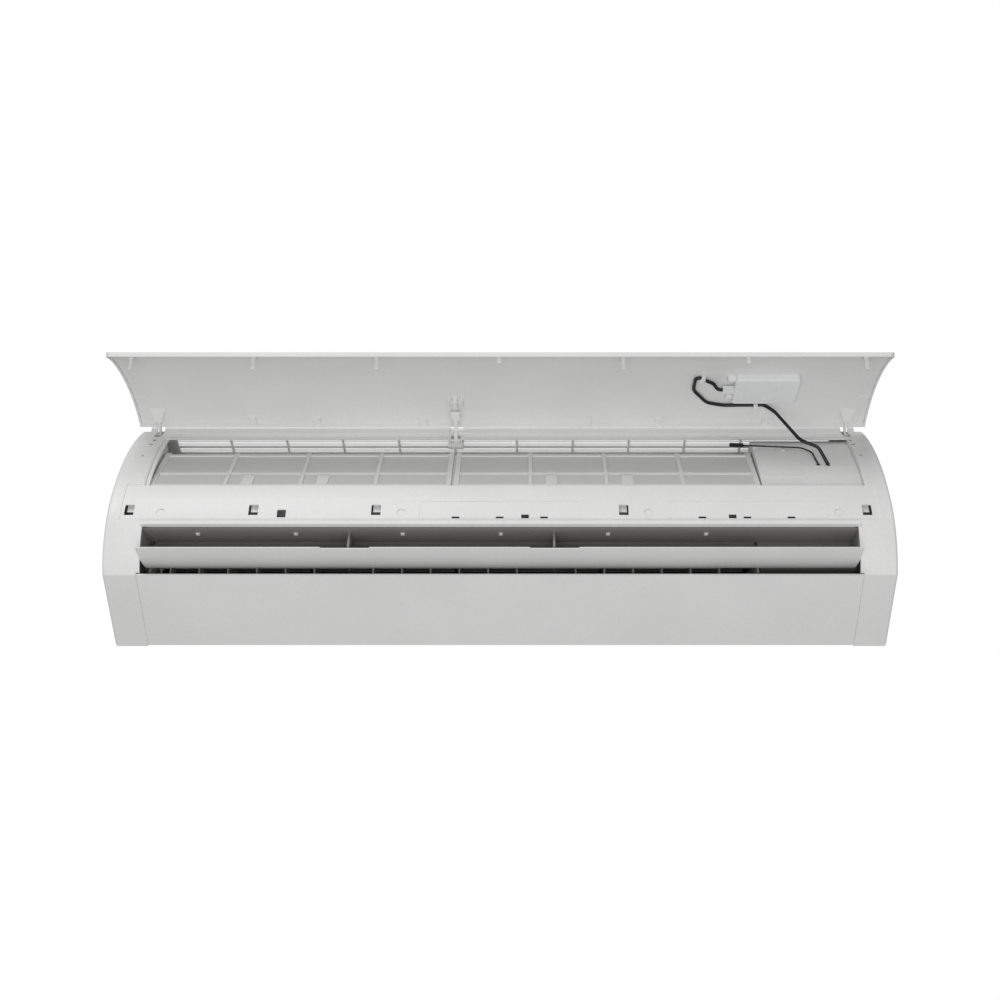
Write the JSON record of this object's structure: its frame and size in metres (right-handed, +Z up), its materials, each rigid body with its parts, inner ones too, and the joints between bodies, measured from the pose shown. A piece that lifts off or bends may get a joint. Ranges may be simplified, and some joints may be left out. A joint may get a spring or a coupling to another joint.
{
  "type": "mini split indoor unit",
  "caption": "Wall-mounted air conditioner indoor unit with its front panel propped open over the air filters and its louver part open over upright vanes.",
  "frame": {"origin": "centre of the wall plate's four screw holes, on the wall plane", "axes": "+X right as seen from the room, +Y into the wall, +Z up"},
  "size_m": [1.082, 0.3659, 0.318],
  "materials": {
    "casing_white": "satin",
    "frame_white": "satin",
    "louver_white": "satin",
    "duct_plastic": "matt",
    "chassis_plastic": "matt",
    "filter_plastic": "matt",
    "filter_mesh": "fine woven net",
    "guide_plastic": "matt",
    "fin_aluminium": "fins",
    "zinc_steel": "zinc plated",
    "copper": "bare copper",
    "brass": "machined",
    "pan_foam": "matt",
    "fan_plastic": "matt",
    "shaft_steel": "ground",
    "bearing_rubber": "matt",
    "motor_steel": "satin",
    "board_green": "satin",
    "module_plastic": "satin",
    "lead_black": "satin"
  },
  "bodies": {
    "chassis": {"wall_plate": "zinc_steel", "rear_chassis": "chassis_plastic", "front_frame": "frame_white", "filter_guides": "guide_plastic", "top_grille": "frame_white", "side_cap_left": "casing_white", "side_cap_right": "casing_white", "lower_cover": "casing_white", "evaporator_fins": "fin_aluminium", "evaporator_plates": "zinc_steel", "evaporator_tubes": "copper", "drain_pan": "pan_foam", "outlet_frame": "duct_plastic", "refrigerant_pipes": "copper", "pipe_unions": "brass", "fan_motor": "motor_steel", "motor_clamp": "zinc_steel", "bearing_seat": "bearing_rubber", "control_box": "chassis_plastic", "control_board": "board_green", "control_box_cover": "frame_white", "terminal_block": "chassis_plastic", "swing_motors": "motor_steel", "screw_caps": "frame_white", "frame_screws": "zinc_steel", "sensor_probe": "lead_black", "sensor_lead": "lead_black"},
    "panel": {"front_panel": "casing_white", "smart_module": "module_plastic", "module_plug": "module_plastic", "lead_clips": "module_plastic", "module_lead": "lead_black"},
    "prop": {"panel_prop": "filter_plastic"},
    "filter_left": {"filter_frame_left": "filter_plastic", "filter_net_left": "filter_mesh"},
    "filter_right": {"filter_frame_right": "filter_plastic", "filter_net_right": "filter_mesh"},
    "louver": {"louver": "louver_white"},
    "fan": {"cross_flow_fan": "fan_plastic", "fan_shafts": "shaft_steel"},
    "vane_link": {"vane_link": "duct_plastic"},
    "vane_crank": {"vane_crank": "duct_plastic"},
    "vane_01": {"vane_01": "duct_plastic"},
    "vane_02": {"vane_02": "duct_plastic"},
    "vane_03": {"vane_03": "duct_plastic"},
    "vane_04": {"vane_04": "duct_plastic"},
    "vane_05": {"vane_05": "duct_plastic"},
    "vane_06": {"vane_06": "duct_plastic"},
    "vane_07": {"vane_07": "duct_plastic"},
    "vane_08": {"vane_08": "duct_plastic"},
    "vane_09": {"vane_09": "duct_plastic"},
    "vane_10": {"vane_10": "duct_plastic"},
    "vane_11": {"vane_11": "duct_plastic"},
    "vane_12": {"vane_12": "duct_plastic"},
    "vane_13": {"vane_13": "duct_plastic"},
    "vane_14": {"vane_14": "duct_plastic"},
    "vane_15": {"vane_15": "duct_plastic"},
    "vane_16": {"vane_16": "duct_plastic"},
    "vane_17": {"vane_17": "duct_plastic"},
    "vane_18": {"vane_18": "duct_plastic"}
  },
  "joints": [
    {"name": "panel_hinge", "type": "hinge", "parent": "chassis", "child": "panel", "pos_m": [0, -0.164, 0.1335], "axis": [1, 0, 0], "range_deg": [0, 67], "deforming": ["module_lead"]},
    {"name": "prop_fold", "type": "hinge", "parent": "chassis", "child": "prop", "pos_m": [-0.069, -0.168, 0.121], "axis": [1, 0, 0], "range_deg": [0, 94]},
    {"name": "louver_hinge", "type": "hinge", "parent": "chassis", "child": "louver", "pos_m": [0, -0.1838, -0.099], "axis": [1, 0, 0], "range_deg": [-68.4, 18]},
    {"name": "fan_spin", "type": "hinge", "parent": "chassis", "child": "fan", "pos_m": [0, -0.108, -0.017], "axis": [1, 0, 0], "continuous": true},
    {"name": "vane_crank", "type": "hinge", "parent": "chassis", "child": "vane_crank", "pos_m": [-0.475, -0.13445, -0.08406], "axis": [0, -0.4821, 0.8761], "range_deg": [-30, 30]},
    {"name": "vane_link_slide", "type": "slide", "parent": "chassis", "child": "vane_link", "axis": [1, 0, 0], "range_m": [-0.0047, 0.0047]},
    {"name": "filter_left_lift", "type": "slide", "parent": "chassis", "child": "filter_left", "axis": [0, 0.3907, 0.9205], "range_m": [0, 0.008]},
    {"name": "filter_right_lift", "type": "slide", "parent": "chassis", "child": "filter_right", "axis": [0, 0.3907, 0.9205], "range_m": [0, 0.008]},
    {"name": "vane_01", "type": "hinge", "parent": "chassis", "child": "vane_01", "pos_m": [-0.4585, -0.13445, -0.08406], "axis": [0, -0.4821, 0.8761], "range_deg": [-30, 30]},
    {"name": "vane_02", "type": "hinge", "parent": "chassis", "child": "vane_02", "pos_m": [-0.41859, -0.13445, -0.08406], "axis": [0, -0.4821, 0.8761], "range_deg": [-30, 30]},
    {"name": "vane_03", "type": "hinge", "parent": "chassis", "child": "vane_03", "pos_m": [-0.37869, -0.13445, -0.08406], "axis": [0, -0.4821, 0.8761], "range_deg": [-30, 30]},
    {"name": "vane_04", "type": "hinge", "parent": "chassis", "child": "vane_04", "pos_m": [-0.33878, -0.13445, -0.08406], "axis": [0, -0.4821, 0.8761], "range_deg": [-30, 30]},
    {"name": "vane_05", "type": "hinge", "parent": "chassis", "child": "vane_05", "pos_m": [-0.29887, -0.13445, -0.08406], "axis": [0, -0.4821, 0.8761], "range_deg": [-30, 30]},
    {"name": "vane_06", "type": "hinge", "parent": "chassis", "child": "vane_06", "pos_m": [-0.25897, -0.13445, -0.08406], "axis": [0, -0.4821, 0.8761], "range_deg": [-30, 30]},
    {"name": "vane_07", "type": "hinge", "parent": "chassis", "child": "vane_07", "pos_m": [-0.17717, -0.13445, -0.08406], "axis": [0, -0.4821, 0.8761], "range_deg": [-30, 30]},
    {"name": "vane_08", "type": "hinge", "parent": "chassis", "child": "vane_08", "pos_m": [-0.13726, -0.13445, -0.08406], "axis": [0, -0.4821, 0.8761], "range_deg": [-30, 30]},
    {"name": "vane_09", "type": "hinge", "parent": "chassis", "child": "vane_09", "pos_m": [-0.09735, -0.13445, -0.08406], "axis": [0, -0.4821, 0.8761], "range_deg": [-30, 30]},
    {"name": "vane_10", "type": "hinge", "parent": "chassis", "child": "vane_10", "pos_m": [-0.05745, -0.13445, -0.08406], "axis": [0, -0.4821, 0.8761], "range_deg": [-30, 30]},
    {"name": "vane_11", "type": "hinge", "parent": "chassis", "child": "vane_11", "pos_m": [-0.01754, -0.13445, -0.08406], "axis": [0, -0.4821, 0.8761], "range_deg": [-30, 30]},
    {"name": "vane_12", "type": "hinge", "parent": "chassis", "child": "vane_12", "pos_m": [0.02237, -0.13445, -0.08406], "axis": [0, -0.4821, 0.8761], "range_deg": [-30, 30]},
    {"name": "vane_13", "type": "hinge", "parent": "chassis", "child": "vane_13", "pos_m": [0.10417, -0.13445, -0.08406], "axis": [0, -0.4821, 0.8761], "range_deg": [-30, 30]},
    {"name": "vane_14", "type": "hinge", "parent": "chassis", "child": "vane_14", "pos_m": [0.14407, -0.13445, -0.08406], "axis": [0, -0.4821, 0.8761], "range_deg": [-30, 30]},
    {"name": "vane_15", "type": "hinge", "parent": "chassis", "child": "vane_15", "pos_m": [0.18398, -0.13445, -0.08406], "axis": [0, -0.4821, 0.8761], "range_deg": [-30, 30]},
    {"name": "vane_16", "type": "hinge", "parent": "chassis", "child": "vane_16", "pos_m": [0.22389, -0.13445, -0.08406], "axis": [0, -0.4821, 0.8761], "range_deg": [-30, 30]},
    {"name": "vane_17", "type": "hinge", "parent": "chassis", "child": "vane_17", "pos_m": [0.26379, -0.13445, -0.08406], "axis": [0, -0.4821, 0.8761], "range_deg": [-30, 30]},
    {"name": "vane_18", "type": "hinge", "parent": "chassis", "child": "vane_18", "pos_m": [0.3037, -0.13445, -0.08406], "axis": [0, -0.4821, 0.8761], "range_deg": [-30, 30]}
  ],
  "couplings": [
    {"joint": "prop_fold", "follows": "panel_hinge", "ratio": 1.403},
    {"joint": "vane_link_slide", "follows": "vane_crank", "m_per_rad": -0.00873},
    {"joint": "vane_01", "follows": "vane_crank", "ratio": 1},
    {"joint": "vane_02", "follows": "vane_crank", "ratio": 1},
    {"joint": "vane_03", "follows": "vane_crank", "ratio": 1},
    {"joint": "vane_04", "follows": "vane_crank", "ratio": 1},
    {"joint": "vane_05", "follows": "vane_crank", "ratio": 1},
    {"joint": "vane_06", "follows": "vane_crank", "ratio": 1},
    {"joint": "vane_07", "follows": "vane_crank", "ratio": 1},
    {"joint": "vane_08", "follows": "vane_crank", "ratio": 1},
    {"joint": "vane_09", "follows": "vane_crank", "ratio": 1},
    {"joint": "vane_10", "follows": "vane_crank", "ratio": 1},
    {"joint": "vane_11", "follows": "vane_crank", "ratio": 1},
    {"joint": "vane_12", "follows": "vane_crank", "ratio": 1},
    {"joint": "vane_13", "follows": "vane_crank", "ratio": 1},
    {"joint": "vane_14", "follows": "vane_crank", "ratio": 1},
    {"joint": "vane_15", "follows": "vane_crank", "ratio": 1},
    {"joint": "vane_16", "follows": "vane_crank", "ratio": 1},
    {"joint": "vane_17", "follows": "vane_crank", "ratio": 1},
    {"joint": "vane_18", "follows": "vane_crank", "ratio": 1}
  ]
}
